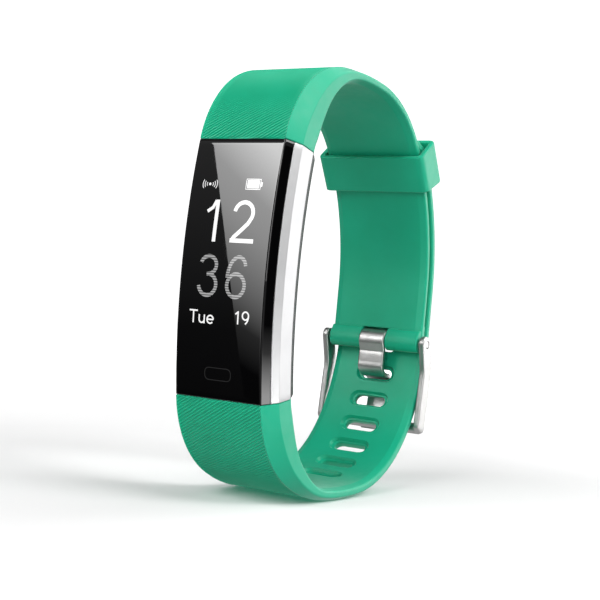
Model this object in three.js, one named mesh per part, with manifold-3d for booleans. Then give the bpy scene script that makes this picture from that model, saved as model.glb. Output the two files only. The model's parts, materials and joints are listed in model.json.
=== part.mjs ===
// Fitness tracker band: a slim tracker module on a silicone wrist band, closed into a loop by a pin buckle.
// Millimetres. X runs across the band, Y from the display back to the buckle, +Z up. The band stands on the
// lowest point of its loop, and the origin is the middle of the bottom of the whole object's box.
import * as THREE from 'three';
import { mergeVertices } from 'three/addons/utils/BufferGeometryUtils.js';
import Module from 'manifold-3d';

const wasm = await Module();
wasm.setup();

// ---- driving dimensions ----
const GAP = 0.3; // clearance between neighbouring pieces
const SOLDER = 0.1; // clearance under a piece that is soldered or glued down

const FACE_RADIUS = 124; // curve of the display face, seen from the side
const MODULE_HALF = 20.9; // half length of the module, measured straight
const FACE_HALF = 8.25; // half width of the flat front face
const SIDE_HALF = 9.75; // half width of the module and of the strap
const EDGE_HALF = 9.05; // half width where the lens chamfer meets the side trim
const EDGE_DEPTH = 1.6; // depth of that line below the face
const CREASE_DEPTH = 3.0; // depth at which the slanted facet meets the upright side
const TRIM_DEPTH = 6.5; // depth of the rear edge of the side trim
const REAR_DEPTH = 10.2; // depth of the back of the rear cover

// Each strap's path as arcs: [radius, heading at its end].
const STRAP_TOP_LEGS = [[17.8, 62], [21.6, 84], [58, 96], [23.2, 141], [43, 180]];
const STRAP_LOW_LEGS = [[18, 62], [32, 84], [60, 96], [24.5, 144]];
const THIN_TOP = { chamfer: 0.5, side: 1.6, back: 2.1 }; // section depths of the thin upper strap
const THIN_LOW = { chamfer: 0.6, side: 1.8, back: 2.2 }; // and of the holed strap
const THICK = { chamfer: 3.0, side: 6.5, back: 8.6 }; // section depths where a strap meets the module
const THICK_RUN = [5, 29]; // the section tapers from thick to thin between these distances along the strap
const STRAP_BACK_HALF = 8.4; // half width of the wrist side of a strap

const PIN_Z = -9.6; // height of the buckle pin
const PIN_RADIUS = 0.75;
const ROLL_RADIUS = 1.75; // the strap's end, rolled round the pin
const TONGUE_WIDTH = 5.4;
const TONGUE_THICK = 0.9;
const PIN_TO_SLOT = 7.1; // from the pin down to the slot that the tongue goes through
const BAR_BELOW_SLOT = 9.2; // from the tongue's slot down to the frame's bar, along the strap
const FRAME_HALF = 11.25; // half width of the buckle frame
const FRAME_SIDE = 1.15; // thickness of its arms

const SLOT_PITCH = 5.95;
const SLOT_COUNT = 10;
const SLOTS_ABOVE = 4; // slots above the one that the tongue goes through
const SLOT_SIZE = [6.4, 2.3];

const KEEPER_HEADING = 147; // where the keeper sits on the back curve, in degrees
const KEEPER_LENGTH = 7.8;
const KEEPER_WALL = 1.0;
const KEEPER_HALF = 11.2;
const TIP_PAST_KEEPER = 5.0; // length of the strap's tip that stands out of the keeper

const DEG = Math.PI / 180;

// ---- materials ----
function material(color, roughness, metalness = 0, more = {}) {
  return new THREE.MeshStandardMaterial({ color, roughness, metalness, ...more });
}
const silicone = material(0x23a27a, 0.6);
const lensBlack = material(0x08090b, 0.08);
const caseBlack = material(0x16171a, 0.5);
const satinSilver = material(0xd9dbde, 0.32, 0.7);
const steel = material(0xb9b8b6, 0.35, 1);
const boardGreen = material(0x0f4f33, 0.55);
const chipBlack = material(0x1b1c1f, 0.6);
const gold = material(0xd8ad4a, 0.3, 1);
const foil = material(0xc9ccd0, 0.35, 0.9);
const ledGreen = material(0x5dff8a, 0.3);
const flexAmber = material(0xb5722a, 0.45);
const wireRed = material(0xb3201c, 0.5);

// ---- paths ----
// A chain of arcs in the YZ plane. A heading is the turn from straight up towards +Y, in degrees. side is -1
// for a path that runs the same way downwards. Each place gives its point, its direction t and its inward
// normal n.
class ArcPath {
  constructor(y, z, heading, legs, side = 1) {
    this.side = side;
    this.legs = [];
    let [py, pz, from, s] = [y, z * side, heading * DEG, 0];
    for (const [radius, end] of legs) {
      const to = end * DEG;
      const centre = [py + radius * Math.cos(from), pz - radius * Math.sin(from)];
      this.legs.push({ radius, from, to, s, centre, length: radius * (to - from) });
      py = centre[0] - radius * Math.cos(to);
      pz = centre[1] + radius * Math.sin(to);
      s += radius * (to - from);
      from = to;
    }
    this.length = s;
    this.end = { y: py, z: pz * side, heading: from };
  }

  at(s, depth = 0) {
    const leg = this.legs.findLast((l) => s >= l.s) ?? this.legs[0];
    const past = Math.max(0, s - this.length);
    const heading = leg.from + (s - past - leg.s) / leg.radius;
    const [sin, cos] = [Math.sin(heading), Math.cos(heading)];
    const y = leg.centre[0] - (leg.radius - depth) * cos + past * sin;
    const z = leg.centre[1] + (leg.radius - depth) * sin + past * cos;
    return { y, z: z * this.side, t: [sin, cos * this.side], n: [cos, -sin * this.side], heading };
  }

  // The distance along the path at which it has this heading.
  distanceAt(degrees) {
    const leg = this.legs.find((l) => degrees * DEG <= l.to + 1e-9);
    return leg.s + leg.radius * (degrees * DEG - leg.from);
  }
}

const smooth = (a, b, x) => THREE.MathUtils.smoothstep(x, a, b);

function steps(from, to, count) {
  return Array.from({ length: count + 1 }, (_, i) => from + ((to - from) * i) / count);
}

// ---- solids ----
function asSolid(geometry) {
  const bare = new THREE.BufferGeometry().setAttribute('position', geometry.getAttribute('position'));
  if (geometry.index) bare.setIndex(geometry.index);
  const merged = mergeVertices(bare, 1e-4);
  return new wasm.Manifold(new wasm.Mesh({
    numProp: 3,
    vertProperties: merged.getAttribute('position').array,
    triVerts: new Uint32Array(merged.index.array),
  }));
}

function asGeometry(solid) {
  const mesh = solid.getMesh();
  const geometry = new THREE.BufferGeometry();
  geometry.setAttribute('position', new THREE.BufferAttribute(mesh.vertProperties.slice(), 3));
  geometry.setIndex(new THREE.BufferAttribute(mesh.triVerts.slice(), 1));
  return geometry;
}

function cut(body, ...tools) {
  return asGeometry(tools.reduce((solid, tool) => solid.subtract(asSolid(tool)), asSolid(body)));
}

function join(body, ...more) {
  return asGeometry(more.reduce((solid, piece) => solid.add(asSolid(piece)), asSolid(body)));
}

// A closed solid through rings of points. Every ring is convex and has the same number of points.
function loft(rings) {
  const n = rings[0].length;
  const last = (rings.length - 1) * n;
  const index = [];
  for (let r = 0; r < rings.length - 1; r += 1) {
    for (let i = 0; i < n; i += 1) {
      const [a, b] = [r * n + i, r * n + ((i + 1) % n)];
      index.push(a, b, b + n, a, b + n, a + n);
    }
  }
  for (let i = 1; i < n - 1; i += 1) {
    index.push(0, i + 1, i, last, last + i, last + i + 1);
  }
  const geometry = new THREE.BufferGeometry().setFromPoints(rings.flat());
  geometry.setIndex(index);
  if (asSolid(geometry).volume() < 0) geometry.setIndex(index.reverse());
  return geometry;
}

// A section is a list of [x, depth] points. It is carried along a path between two distances.
function alongPath(path, from, to, count, sectionAt) {
  return loft(steps(from, to, count).map((s) => sectionAt(s).map(([x, depth]) => {
    const { y, z } = path.at(s, depth);
    return new THREE.Vector3(x, y, z);
  })));
}

const mirrored = (half) => [...half.map(([x, d]) => [-x, d]).reverse(), ...half];

function box(width, depth, height, x, y, z) {
  return new THREE.BoxGeometry(width, depth, height).translate(x, y, z);
}

// An outline in the YZ plane, given a thickness across X.
function plateAcross(outline, fromX, toX) {
  const shape = new THREE.Shape(outline.map(([y, z]) => new THREE.Vector2(y, z)));
  const geometry = new THREE.ExtrudeGeometry(shape, { depth: toX - fromX, bevelEnabled: false });
  return geometry.applyMatrix4(new THREE.Matrix4().set(0, 0, 1, fromX, 1, 0, 0, 0, 0, 1, 0, 0, 0, 0, 0, 1));
}

function barAcross(radius, halfWidth, y, z, sides = 20) {
  const bar = new THREE.CylinderGeometry(radius, radius, 2 * halfWidth, sides);
  return bar.rotateZ(Math.PI / 2).translate(0, y, z);
}

// A disc or ring lying in the XZ plane, thick along Y.
function disc(radius, thick, x, y, z, sides = 28) {
  return new THREE.CylinderGeometry(radius, radius, thick, sides).translate(x, y, z);
}

// A strip of even thickness along a centre line in the YZ plane.
function stripOutline(points, thick) {
  const centres = points.map(([y, z]) => new THREE.Vector3(0, y, z));
  const line = new THREE.CatmullRomCurve3(centres, false, 'centripetal');
  const places = steps(0, 1, 4 * points.length).map((u) => [line.getPoint(u), line.getTangent(u)]);
  const edge = (lift) => places.map(([p, t]) => [p.y - lift * t.z, p.z + lift * t.y]);
  return [...edge(thick / 2), ...edge(-thick / 2).reverse()];
}

// A round wire along a curve through some points.
function wire(points, radius) {
  const extrudePath = new THREE.CatmullRomCurve3(points.map((p) => new THREE.Vector3(...p)));
  const section = new THREE.Shape();
  section.absarc(0, 0, radius, 0, 2 * Math.PI);
  return new THREE.ExtrudeGeometry(section, { steps: 10, extrudePath, curveSegments: 4 });
}

// ---- the loop's two strap paths and the module's own curve ----
const endHeading = Math.asin(MODULE_HALF / FACE_RADIUS) / DEG;
const facePath = new ArcPath(0, -MODULE_HALF, -endHeading, [[FACE_RADIUS, endHeading]]);
const topPath = new ArcPath(0, MODULE_HALF, endHeading, STRAP_TOP_LEGS);
const backY = topPath.end.y + GAP + THIN_LOW.back; // outer face of the holed strap where it runs straight up

function holedStrapPath() {
  const bend = new ArcPath(0, MODULE_HALF, endHeading, STRAP_LOW_LEGS);
  const lastRadius = (backY - bend.end.y) / (1 + Math.cos(bend.end.heading));
  return new ArcPath(0, -MODULE_HALF, endHeading, [...STRAP_LOW_LEGS, [lastRadius, 180]], -1);
}
const lowPath = holedStrapPath();
const straightEnd = lowPath.end; // here the back of the loop runs straight up for a while
const backCurve = topPath.legs.at(-1); // the arc that the keeper slides on
const backCentre = { y: backCurve.centre[0], z: backCurve.centre[1] };
const pinY = topPath.end.y - ROLL_RADIUS;

// ---- straps ----
function strapSection(s, thin) {
  const taper = 1 - smooth(...THICK_RUN, s);
  const mix = (key) => thin[key] + (THICK[key] - thin[key]) * taper;
  return mirrored([
    [FACE_HALF, 0], [SIDE_HALF, mix('chamfer')], [SIDE_HALF, mix('side')], [STRAP_BACK_HALF, mix('back')],
  ]);
}

const STUB = { half: 6.5, top: 2.7, low: 5.7, length: 4.5 };
const PLUG = { width: 12, thick: 2.0, length: 8, y: 4.9, tilt: 14 };

function stubSolid(grow) {
  const { half, top, low, length } = STUB;
  const section = mirrored([[half + grow, top - grow], [half + grow, low + grow]]);
  return alongPath(topPath, -1.2, length + grow, 3, () => section);
}

function plugSolid(grow, from = -0.2) {
  const { width, thick, length, y, tilt } = PLUG;
  const long = length + grow - from;
  return box(width + 2 * grow, thick + 2 * grow, long, 0, 0, -from - long / 2)
    .rotateX(tilt * DEG)
    .translate(0, y, -MODULE_HALF + 0.55);
}

function upperStrap() {
  const end = topPath.length + topPath.end.z - PIN_Z;
  const sheet = alongPath(topPath, GAP, end, 40, (s) => strapSection(s, THIN_TOP));
  const roll = barAcross(ROLL_RADIUS, SIDE_HALF - 0.1, pinY, PIN_Z, 24);
  const pinHole = barAcross(PIN_RADIUS + GAP, SIDE_HALF + 1, pinY, PIN_Z);
  const notchWidth = TONGUE_WIDTH + 0.8;
  const tongueNotch = box(notchWidth, 2 * ROLL_RADIUS + 4, 2 * ROLL_RADIUS + 3.2, 0, pinY, PIN_Z - 0.2);
  return cut(join(sheet, roll), stubSolid(0.3), pinHole, tongueNotch);
}

// Along the strap, the slot that the tongue goes through lies this far below the pin.
const slotDistance = lowPath.length - (straightEnd.z - (PIN_Z - PIN_TO_SLOT));

function stadium(length, height) {
  const shape = new THREE.Shape();
  const [half, radius] = [length / 2 - height / 2, height / 2];
  shape.absarc(half, 0, radius, -Math.PI / 2, Math.PI / 2);
  shape.absarc(-half, 0, radius, Math.PI / 2, 1.5 * Math.PI);
  return shape;
}

function slotCutter(place) {
  const through = { depth: 8, bevelEnabled: false, curveSegments: 4 };
  const cutter = new THREE.ExtrudeGeometry(stadium(...SLOT_SIZE), through);
  const turn = new THREE.Matrix4().makeBasis(
    new THREE.Vector3(1, 0, 0),
    new THREE.Vector3(0, ...place.t),
    new THREE.Vector3(0, ...place.n),
  );
  if (turn.determinant() < 0) turn.multiply(new THREE.Matrix4().makeScale(-1, 1, 1));
  const start = new THREE.Vector3(0, place.y, place.z).addScaledVector(new THREE.Vector3(0, ...place.n), -2);
  return cutter.applyMatrix4(turn.setPosition(start));
}

// The tail lies on the outside of the upper strap, so it follows the same arcs a little further out.
const tailOffset = backY - topPath.end.y;
function tailPlace(s) {
  const straight = topPath.end.z - straightEnd.z;
  if (s <= lowPath.length + straight) return lowPath.at(s);
  const past = (s - lowPath.length - straight) / (backCurve.radius + tailOffset);
  const heading = Math.PI - past;
  const radius = backCurve.radius + tailOffset;
  const [sin, cos] = [Math.sin(heading), Math.cos(heading)];
  return { y: backCentre.y - radius * cos, z: backCentre.z + radius * sin, t: [-sin, -cos], n: [cos, -sin] };
}

const keeperTop = KEEPER_HEADING * DEG - KEEPER_LENGTH / 2 / backCurve.radius;
const tailLength = lowPath.length + topPath.end.z - straightEnd.z
  + (Math.PI - keeperTop) * (backCurve.radius + tailOffset) + TIP_PAST_KEEPER;

function lowerStrap() {
  const rings = steps(GAP, tailLength, 64).map((s) => {
    const fromTip = tailLength - s;
    const round = fromTip < 8 ? Math.sqrt(Math.max(0.02, 1 - ((8 - fromTip) / 8) ** 2)) : 1;
    const place = tailPlace(s);
    return strapSection(s, THIN_LOW).map(([x, depth]) => new THREE.Vector3(
      x * (0.45 + 0.55 * round),
      place.y + depth * place.n[0],
      place.z + depth * place.n[1],
    ));
  });
  const slots = steps(0, SLOT_COUNT - 1, SLOT_COUNT - 1)
    .map((i) => slotCutter(tailPlace(slotDistance + (SLOTS_ABOVE - i) * SLOT_PITCH)));
  return cut(loft(rings), plugSolid(0.3), ...slots);
}

// ---- keeper ----
// A loop bent to the back curve, so that it slides along it without changing its clearance.
function keeper() {
  const inner = THIN_TOP.back + GAP;
  const outer = tailOffset + GAP;
  const half = (KEEPER_LENGTH / 2 / backCurve.radius) / DEG;
  const from = topPath.distanceAt(KEEPER_HEADING - half);
  const to = topPath.distanceAt(KEEPER_HEADING + half);
  const ring = (wide, low, high, round) => mirrored([
    [wide - round, -high], [wide, -high + round], [wide, low - round], [wide - round, low],
  ]);
  const outside = () => ring(KEEPER_HALF, inner + KEEPER_WALL, outer + KEEPER_WALL, 1.0);
  const inside = () => ring(KEEPER_HALF - KEEPER_WALL, inner, outer, 0.35);
  return cut(alongPath(topPath, from, to, 5, outside), alongPath(topPath, from - 1, to + 1, 7, inside));
}

// ---- buckle ----
const BAR_LIFT = 1.6; // from the strap's outer face to the middle of the bar
const barPlace = tailPlace(slotDistance - BAR_BELOW_SLOT);
const frameBar = {
  radius: 1.05,
  y: barPlace.y - BAR_LIFT * barPlace.n[0],
  z: barPlace.z - BAR_LIFT * barPlace.n[1],
};

function buckleFrame() {
  const arm = [
    [pinY - 1.9, PIN_Z + 0.4], [pinY - 1.2, PIN_Z + 1.6], [pinY + 0.5, PIN_Z + 1.6],
    [pinY + 1.4, PIN_Z + 0.6], [pinY + 3.0, PIN_Z - 5.0], [frameBar.y + 1.0, frameBar.z + 0.9],
    [frameBar.y + 0.9, frameBar.z - 0.7], [frameBar.y - 0.7, frameBar.z - 0.95],
    [frameBar.y - 2.0, frameBar.z + 0.3], [pinY - 0.2, PIN_Z - 5.2],
  ];
  const left = plateAcross(arm, -FRAME_HALF, -FRAME_HALF + FRAME_SIDE);
  const right = plateAcross(arm, FRAME_HALF - FRAME_SIDE, FRAME_HALF);
  const bar = barAcross(frameBar.radius, FRAME_HALF - FRAME_SIDE / 2, frameBar.y, frameBar.z, 16);
  const pinHole = barAcross(PIN_RADIUS + 0.12, FRAME_HALF + 1, pinY, PIN_Z);
  return cut(join(bar, left, right), pinHole);
}

function bucklePin() {
  return barAcross(PIN_RADIUS, FRAME_HALF - 0.1, pinY, PIN_Z);
}

// The tongue is a strip curled round the pin. It bows towards the wrist, passes out through its slot and lies
// on the outside of the frame's bar.
function buckleTongue() {
  const curl = ROLL_RADIUS;
  const around = steps(-35, 112, 5).map((degrees) => [
    pinY - curl * Math.sin(degrees * DEG),
    PIN_Z + curl * Math.cos(degrees * DEG),
  ]);
  const slot = tailPlace(slotDistance);
  const out = (s, lift) => {
    const place = tailPlace(s);
    return [place.y - lift * place.n[0], place.z - lift * place.n[1]];
  };
  const route = [
    ...around,
    [pinY - 1.3, PIN_Z - 2.2],
    [pinY - 1.2, PIN_Z - 4.0],
    [slot.y - 2.0 + 1.0 * slot.n[0], slot.z + 0.9],
    out(slotDistance - 0.2, 0.6),
    out(slotDistance - 2.4, 1.9),
    out(slotDistance - 6.0, 3.0),
    [frameBar.y + 1.75, frameBar.z + 0.9],
    [frameBar.y + 1.35, frameBar.z - 1.4],
  ];
  return plateAcross(stripOutline(route, TONGUE_THICK), -TONGUE_WIDTH / 2, TONGUE_WIDTH / 2);
}

// ---- module shell ----
const moduleLength = facePath.length;

function alongModule(inset, count, section) {
  return alongPath(facePath, inset, moduleLength - inset, count, () => mirrored(section));
}

function displayLens() {
  return alongModule(0, 14, [[FACE_HALF, 0], [EDGE_HALF, EDGE_DEPTH]]);
}

function sideTrim(side) {
  const inner = SIDE_HALF - 1.0;
  const section = [
    [inner, EDGE_DEPTH + GAP], [EDGE_HALF + 0.15, EDGE_DEPTH + GAP], [SIDE_HALF, CREASE_DEPTH],
    [SIDE_HALF, TRIM_DEPTH], [inner, TRIM_DEPTH],
  ].map(([x, depth]) => [side * x, depth]);
  return alongPath(facePath, 0, moduleLength, 14, () => section);
}

function chassis() {
  const outer = SIDE_HALF - 1.0 - GAP;
  const body = alongModule(0, 12, [[outer, EDGE_DEPTH + GAP], [outer, TRIM_DEPTH]]);
  const well = alongModule(1.5, 8, [[outer - 1.1, 0], [outer - 1.1, TRIM_DEPTH + 2]]);
  return cut(join(body, stubSolid(0)), well, plugSolid(GAP, -4));
}

const WINDOW = { half: 4.2, height: 5.6 };

function rearCover() {
  const half = SIDE_HALF - 0.15;
  const outside = [
    [half, TRIM_DEPTH + GAP], [half, 7.6], [half - 1.3, REAR_DEPTH - 0.5], [half - 2.4, REAR_DEPTH],
  ];
  const floor = REAR_DEPTH - 1.0;
  const inside = [[half - 1.2, 5], [half - 1.2, 7.5], [half - 2.4, floor], [half - 3.2, floor]];
  const opening = box(2 * WINDOW.half + 2 * GAP, 12, 2 * WINDOW.height + 2 * GAP, 0, 8, 0);
  return cut(alongModule(0, 10, outside), alongModule(1.4, 8, inside), opening);
}

function sensorWindow() {
  const shape = new THREE.Shape();
  const [half, height, round] = [WINDOW.half, WINDOW.height, 1.6];
  shape.moveTo(half, height - round);
  shape.absarc(half - round, height - round, round, 0, Math.PI / 2);
  shape.absarc(-half + round, height - round, round, Math.PI / 2, Math.PI);
  shape.absarc(-half + round, -height + round, round, Math.PI, 1.5 * Math.PI);
  shape.absarc(half - round, -height + round, round, 1.5 * Math.PI, 2 * Math.PI);
  const bevel = { bevelThickness: 0.6, bevelSize: 0.6, bevelOffset: -0.6, bevelSegments: 2 };
  const plate = new THREE.ExtrudeGeometry(shape, { depth: 0.7, curveSegments: 4, ...bevel });
  return plate.rotateX(-Math.PI / 2).translate(0, 8.3, 0);
}

// ---- inside the module ----
const BOARD = { width: 13.4, thick: 0.6, height: 36, y: 5.9 };
const MOTOR = { y: 4.05, z: -14.2, radius: 3.6, thick: 2.2 };

function mainBoard() {
  return box(BOARD.width, BOARD.thick, BOARD.height, 0, BOARD.y, -0.4);
}

// A flat component on the board's wrist side.
function onBoard(width, thick, height, x, z) {
  return box(width, thick, height, x, BOARD.y + (BOARD.thick + thick) / 2 + SOLDER, z);
}

function caseSeal() {
  const ring = alongModule(1.6, 8, [[8.2, 6.75], [8.2, 7.35]]);
  const hole = alongModule(2.2, 8, [[7.6, 5], [7.6, 9]]);
  return cut(ring, hole);
}

function panelFlex() {
  const route = [[2.0, 14.9], [2.1, 16.0], [3.2, 17.0], [4.6, 16.6], [5.1, 15.8], [5.3, 14.7]];
  return plateAcross(stripOutline(route, 0.15), -3.5, 3.5);
}

function motorWeight() {
  const shape = new THREE.Shape();
  shape.absarc(0, 0, 2.7, 0.15, Math.PI - 0.15);
  shape.absarc(0, 0, 0.9, Math.PI - 0.15, 0.15, true);
  return new THREE.ExtrudeGeometry(shape, { depth: 0.8, bevelEnabled: false, curveSegments: 8 })
    .rotateX(-Math.PI / 2)
    .translate(0, MOTOR.y - 0.4, MOTOR.z);
}

function motorCan() {
  const can = disc(MOTOR.radius, MOTOR.thick, 0, MOTOR.y, MOTOR.z);
  return cut(can, disc(MOTOR.radius - 0.35, MOTOR.thick, 0, MOTOR.y + 0.35, MOTOR.z));
}

function batteryWire(x) {
  return wire([[x, 4.0, 14.7], [x, 4.2, 15.5], [x, 4.75, 15.85], [x, 5.2, 15.3]], 0.25);
}

// ---- assembly ----
const band = new THREE.Group();

function add(name, geometry, look) {
  const mesh = new THREE.Mesh(geometry, look);
  mesh.name = name;
  band.add(mesh);
}

function addShell() {
  add('display_lens', displayLens(), lensBlack);
  add('chassis', chassis(), caseBlack);
  add('side_trim_left', sideTrim(-1), satinSilver);
  add('side_trim_right', sideTrim(1), satinSilver);
  add('rear_cover', rearCover(), caseBlack);
  add('case_seal', caseSeal(), chipBlack);
  add('sensor_window', sensorWindow(), lensBlack);
}

function addElectronics() {
  add('oled_panel', box(12.6, 1.1, 25, 0, 1.4, 1.2), lensBlack);
  add('panel_bracket', box(13.4, 0.4, 27, 0, 2.35, 1.2), caseBlack);
  add('panel_flex', panelFlex(), flexAmber);
  add('battery', box(12.4, 2.4, 24, 0, 4.05, 2.4), foil);
  add('battery_wire_positive', batteryWire(4.8), wireRed);
  add('battery_wire_negative', batteryWire(-4.8), chipBlack);
  add('main_board', mainBoard(), boardGreen);
  add('processor_chip', onBoard(5, 0.7, 5, 0, 9.6), chipBlack);
  add('memory_chip', onBoard(4, 0.6, 3, -3.4, 14.4), chipBlack);
  add('motion_sensor', onBoard(2, 0.7, 2, 4.4, 9.6), chipBlack);
  add('clock_crystal', onBoard(2.4, 0.5, 1.6, 4.2, 13.4), steel);
  add('radio_antenna', onBoard(5, 0.8, 1.6, 3.2, -14.6), foil);
  add('charge_chip', onBoard(2.4, 0.6, 2.4, -3.6, -11), chipBlack);
  add('green_led_upper', onBoard(1.6, 0.6, 1.6, 0, 3.6), ledGreen);
  add('green_led_lower', onBoard(1.6, 0.6, 1.6, 0, -3.6), ledGreen);
  add('photodiode', onBoard(2.8, 0.6, 2.8, 0, 0), chipBlack);
  add('light_barrier_upper', onBoard(6, 0.9, 0.5, 0, 2.1), caseBlack);
  add('light_barrier_lower', onBoard(6, 0.9, 0.5, 0, -2.1), caseBlack);
  add('touch_pad', box(6, 0.25, 4, 0, 1.6, -15.6), flexAmber);
  add('touch_spring', box(1.2, 0.7, 1.2, 0, 2.25, -15.6), gold);
}

function addMotor() {
  add('motor_can', motorCan(), steel);
  add('motor_cover', disc(MOTOR.radius, 0.15, 0, MOTOR.y + MOTOR.thick / 2 + 0.2, MOTOR.z), foil);
  add('motor_weight', motorWeight(), steel);
  add('motor_shaft', disc(0.5, 1.3, 0, MOTOR.y + 0.05, MOTOR.z, 12), steel);
}

function addPlug() {
  const { width, thick, length, y, tilt } = PLUG;
  add('usb_tongue', plugSolid(0, -2.2), caseBlack);
  [[-3.5, 7.0], [-1.0, 6.2], [1.0, 6.2], [3.5, 7.0]].forEach(([x, long], i) => {
    const contact = box(width / 10, 0.12, long, x, -thick / 2 - 0.08, -length + long / 2 + 0.6);
    add(`usb_contact_${i + 1}`, contact.rotateX(tilt * DEG).translate(0, y, -MODULE_HALF + 0.55), gold);
  });
}

function addBand() {
  add('upper_strap', upperStrap(), silicone);
  add('lower_strap', lowerStrap(), silicone);
  add('keeper', keeper(), silicone);
  add('buckle_frame', buckleFrame(), steel);
  add('buckle_pin', bucklePin(), steel);
  add('buckle_tongue', buckleTongue(), steel);
}

addShell();
addElectronics();
addMotor();
addPlug();
addBand();

// The origin goes to the middle of the bottom of the whole object's box.
const part = new THREE.Group();
part.add(band);
const bounds = new THREE.Box3().setFromObject(band);
band.position.set(0, -(bounds.min.y + bounds.max.y) / 2, -bounds.min.z);

export default part;
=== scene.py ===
# Looks of a fitness tracker band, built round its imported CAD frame.
# Shapes are worked out in millimetres in the module's own frame: X across the band, Y from the display back
# to the buckle, Z up, origin at the middle of the module. world() turns such a point into scene metres.
import json
import math
from collections import namedtuple

import bmesh
import bpy
from mathutils import Matrix, Vector

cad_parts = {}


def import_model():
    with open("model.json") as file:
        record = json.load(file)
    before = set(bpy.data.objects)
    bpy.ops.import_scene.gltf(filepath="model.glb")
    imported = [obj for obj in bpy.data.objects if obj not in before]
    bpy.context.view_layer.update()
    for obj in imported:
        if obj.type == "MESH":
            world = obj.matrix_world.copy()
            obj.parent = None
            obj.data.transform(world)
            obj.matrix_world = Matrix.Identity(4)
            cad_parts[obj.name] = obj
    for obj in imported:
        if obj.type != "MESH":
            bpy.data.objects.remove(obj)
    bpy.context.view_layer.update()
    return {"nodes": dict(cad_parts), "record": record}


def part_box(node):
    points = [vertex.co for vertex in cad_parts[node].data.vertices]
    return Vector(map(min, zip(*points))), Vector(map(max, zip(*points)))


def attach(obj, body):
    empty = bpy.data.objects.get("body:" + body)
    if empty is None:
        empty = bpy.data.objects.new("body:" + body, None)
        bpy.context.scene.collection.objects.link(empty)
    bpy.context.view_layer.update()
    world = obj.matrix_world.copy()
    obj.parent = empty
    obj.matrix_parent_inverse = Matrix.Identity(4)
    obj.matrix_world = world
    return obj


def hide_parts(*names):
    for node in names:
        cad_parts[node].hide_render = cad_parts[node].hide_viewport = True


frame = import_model()

# ---- dimensions shared with the CAD model, in millimetres ----
MM = 0.001
FACE_RADIUS = 124  # curve of the display face, seen from the side
MODULE_HALF = 20.9
FACE_HALF = 8.25  # half width of the flat front face
SIDE_HALF = 9.75  # half width of the module and the strap
EDGE_HALF = 9.05  # half width where the lens chamfer meets the side trim
EDGE_DEPTH = 1.6
CREASE_DEPTH = 3.0
TRIM_DEPTH = 6.5
REAR_DEPTH = 10.2
STRAP_TOP_LEGS = [(17.8, 62), (21.6, 84), (58, 96), (23.2, 141), (43, 180)]  # radius, heading at its end
STRAP_LOW_LEGS = [(18, 62), (32, 84), (60, 96), (24.5, 144)]
Depths = namedtuple("Depths", "chamfer side back")
THIN_TOP = Depths(0.5, 1.6, 2.1)
THIN_LOW = Depths(0.6, 1.8, 2.2)
THICK = Depths(3.0, 6.5, 8.6)
THICK_RUN = (5, 29)  # the strap tapers from thick to thin between these distances
STRAP_BACK_HALF = 8.4
GAP = 0.3
PIN_Z = -9.6
PIN_RADIUS = 0.75
ROLL_RADIUS = 1.75
TONGUE_WIDTH = 5.4
TONGUE_THICK = 0.9
PIN_TO_SLOT = 7.1
BAR_BELOW_SLOT = 9.2
BAR_RADIUS = 1.05
BAR_LIFT = 1.6
FRAME_HALF = 11.25
FRAME_SIDE = 1.15
SLOT_PITCH = 5.95
SLOT_COUNT = 10
SLOTS_ABOVE = 4
KEEPER_HEADING = 147
KEEPER_LENGTH = 7.8
KEEPER_WALL = 1.0
KEEPER_HALF = 11.2
TIP_PAST_KEEPER = 5.0
WINDOW_HALF_X = 4.2
WINDOW_HALF_Z = 5.6

# ---- dimensions of the fine detail, in millimetres ----
SEAM = 0.04  # visible joint between two pieces that the CAD keeps further apart
RIB_SLOPE = 0.62  # rise of the moulded ribs along the strap, per millimetre across it
RIB_PITCH = 0.56  # along the strap
RIB_DEPTH = 0.25
RIB_END = 40  # the ribs fade out by this distance along the strap
RIB_FADE = 10
SLOT_THROUGH = (6.5, 2.1)
SLOT_RECESS = (8.4, 3.3)
TIP_LENGTH = 8
FACE_COLUMNS = 8  # mesh columns from the middle of the strap's face to its edge
BACK_COLUMNS = 6
TAPER_LEVELS = 32  # sections worked out between the thin and the thick one
PLAIN_STEP = 1.1  # between rows past the ribs
STRAIGHTEN_RUN = 22  # the rows turn from slanted to straight across by this distance past the ribs
ROW_PITCH = 0.4  # between the lit lines of the dim digits
MARK_LIFT = 0.012  # the marks lie this far above the glass and reach as far into it
MARK_STEP = 0.6  # a mark follows the curved glass in steps of about this length
WELD = 2e-6  # metres

SKY = [(0, 0.75), (0.5, 0.33), (1, 0.02)]  # from straight down (0) to straight up (1), and the light there

lens_low, lens_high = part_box("display_lens")
sagitta = FACE_RADIUS - math.sqrt(FACE_RADIUS**2 - MODULE_HALF**2)
home = Vector((0, lens_low.y / MM + sagitta, (lens_low.z + lens_high.z) / 2 / MM))


def world(point):
    return (Vector(point) + home) * MM


def smooth(low, high, value):
    t = min(1, max(0, (value - low) / (high - low)))
    return t * t * (3 - 2 * t)


def spread(start, stop, count):
    return [start + (stop - start) * i / count for i in range(count + 1)]


# ---- paths ----
Place = namedtuple("Place", "y z along inward")


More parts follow.
